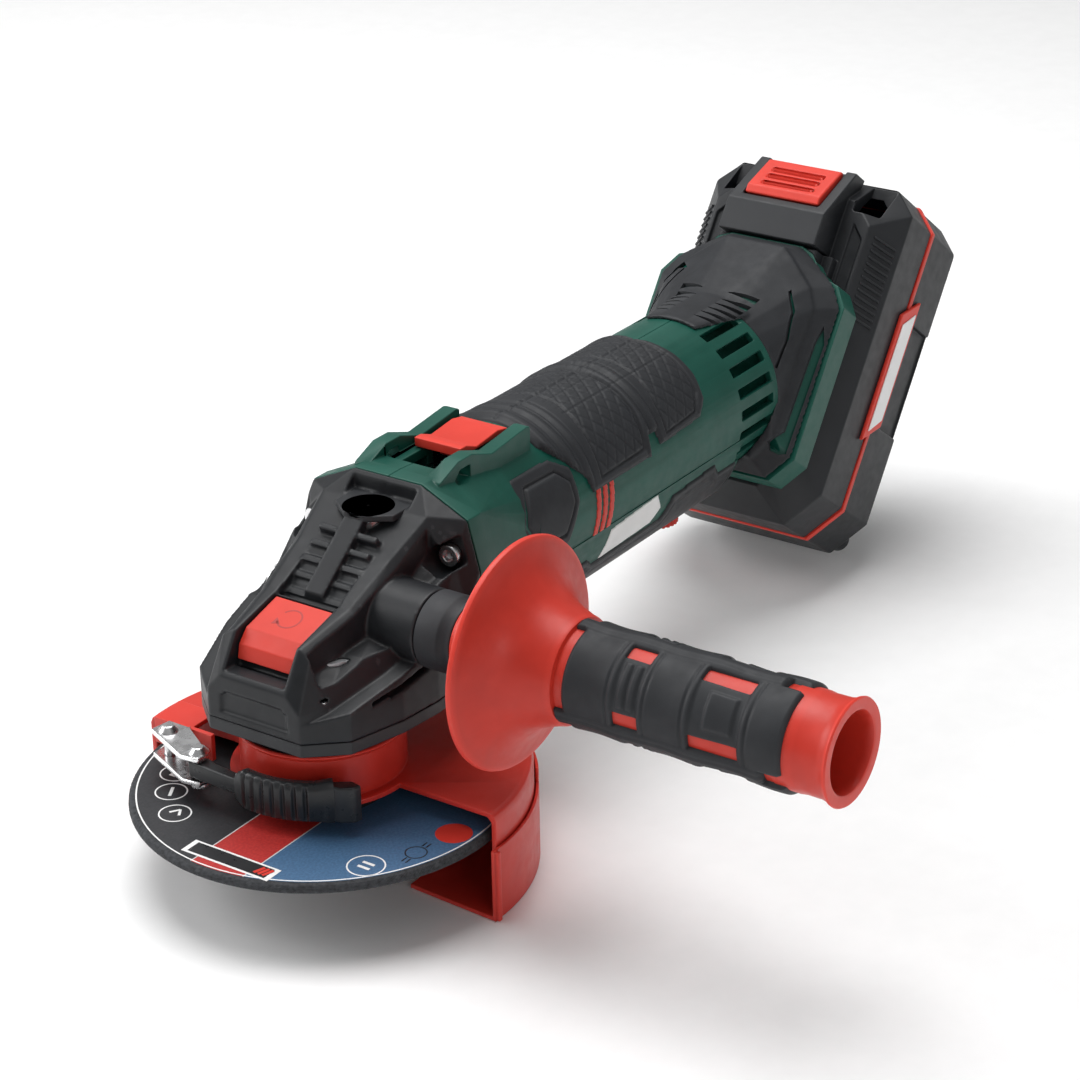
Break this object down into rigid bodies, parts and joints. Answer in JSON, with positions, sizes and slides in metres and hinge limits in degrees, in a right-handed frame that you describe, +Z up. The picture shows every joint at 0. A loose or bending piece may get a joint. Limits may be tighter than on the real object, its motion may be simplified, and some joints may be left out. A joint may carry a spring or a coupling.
{
  "type": "cordless angle grinder",
  "caption": "Cordless angle grinder with spindle lock, toggle-clamp guard over the disc, screw-in side handle and slide-on battery.",
  "frame": {"origin": "the spindle axis at the middle of its free thread, 11.15 mm below the top face of the disc", "axes": "+X along the motor axis to the nose, +Y towards the side handle, +Z up along the spindle"},
  "size_m": [0.3809, 0.2287, 0.1363],
  "materials": {
    "black_plastic": "satin moulded",
    "rubber": "matt overmould",
    "green_plastic": "fine moulded grain",
    "red_plastic": "fine moulded grain",
    "red_painted_steel": "powder coat",
    "steel": "zinc plated",
    "die_cast": "as cast",
    "abrasive": "resin bonded grit",
    "magnet": "ground ferrite",
    "copper": "bare metal",
    "carbon": "pressed carbon",
    "phenolic": "moulded",
    "circuit_board": "solder mask",
    "wire": "insulation",
    "cell_wrap": "shrink sleeve",
    "label": "printed film"
  },
  "bodies": {
    "housing": {"head_shell": "black_plastic", "gear_case": "die_cast", "head_screws": "steel", "thread_inserts": "steel", "bearing_plate": "black_plastic", "plate_screws": "steel", "lower_bearing": "steel", "upper_bearing": "steel", "lock_spring": "steel", "side_handle": "red_plastic", "handle_sleeve": "rubber", "handle_grip": "rubber", "handle_stud": "steel", "housing_left": "green_plastic", "housing_right": "green_plastic", "grip_overmold": "rubber", "rear_overmold": "rubber", "housing_screws": "steel", "microswitch": "black_plastic", "motor_can": "steel", "motor_magnets": "magnet", "front_bearing": "steel", "rear_bearing": "steel", "brush_holders": "phenolic", "carbon_brushes": "carbon", "control_board": "circuit_board", "wiring": "wire", "terminal_block": "black_plastic"},
    "spindle": {"spindle": "steel", "bevel_gear": "steel", "inner_flange": "black_plastic", "cutting_disc": "abrasive", "lock_nut": "steel"},
    "rotor": {"rotor_shaft": "steel", "pinion": "steel", "rotor_core": "copper", "commutator": "copper", "fan": "black_plastic"},
    "lock_button": {"lock_button": "red_plastic"},
    "switch": {"switch_slider": "red_plastic", "switch_rod": "black_plastic"},
    "dial": {"speed_dial": "red_plastic"},
    "guard": {"guard": "red_painted_steel", "guard_cover": "red_painted_steel", "clamp_link": "steel", "clamp_rivets": "steel"},
    "clamp_lever": {"clamp_lever": "black_plastic"},
    "battery": {"battery_front": "black_plastic", "battery_rear": "black_plastic", "battery_band": "red_plastic", "battery_cells": "cell_wrap", "battery_board": "circuit_board", "battery_contacts": "copper", "battery_screws": "steel", "battery_label": "label"},
    "latch": {"battery_latch": "red_plastic"}
  },
  "joints": [
    {"name": "spindle_spin", "type": "hinge", "parent": "housing", "child": "spindle", "pos_m": [0, 0, 0.01115], "axis": [0, 0, 1], "continuous": true},
    {"name": "rotor_spin", "type": "hinge", "parent": "housing", "child": "rotor", "pos_m": [-0.09, 0, 0.06515], "axis": [1, 0, 0], "continuous": true},
    {"name": "spindle_lock", "type": "slide", "parent": "housing", "child": "lock_button", "axis": [0, 0, -1], "range_m": [0, 0.0025], "stiffness_N_per_m": 600, "springref_m": -0.004, "deforming": ["lock_spring"]},
    {"name": "switch_slide", "type": "slide", "parent": "housing", "child": "switch", "axis": [1, 0, 0], "range_m": [0, 0.008]},
    {"name": "dial_turn", "type": "hinge", "parent": "housing", "child": "dial", "pos_m": [-0.18, 0, 0.02915], "axis": [0, 0, 1], "range_deg": [0, 270]},
    {"name": "guard_turn", "type": "hinge", "parent": "housing", "child": "guard", "pos_m": [0, 0, 0.02615], "axis": [0, 0, 1], "range_deg": [-60, 60]},
    {"name": "clamp_open", "type": "hinge", "parent": "guard", "child": "clamp_lever", "pos_m": [0.0272, -0.024, 0.02215], "axis": [0, 0, -1], "range_deg": [0, 100]},
    {"name": "battery_slide", "type": "slide", "parent": "housing", "child": "battery", "axis": [-0.5878, 0, 0.809], "range_m": [0, 0.08]},
    {"name": "latch_press", "type": "slide", "parent": "battery", "child": "latch", "axis": [-0.809, 0, -0.5878], "range_m": [0, 0.0025], "stiffness_N_per_m": 500, "springref_m": -0.003}
  ],
  "couplings": [
    {"joint": "rotor_spin", "follows": "spindle_spin", "ratio": -3}
  ]
}
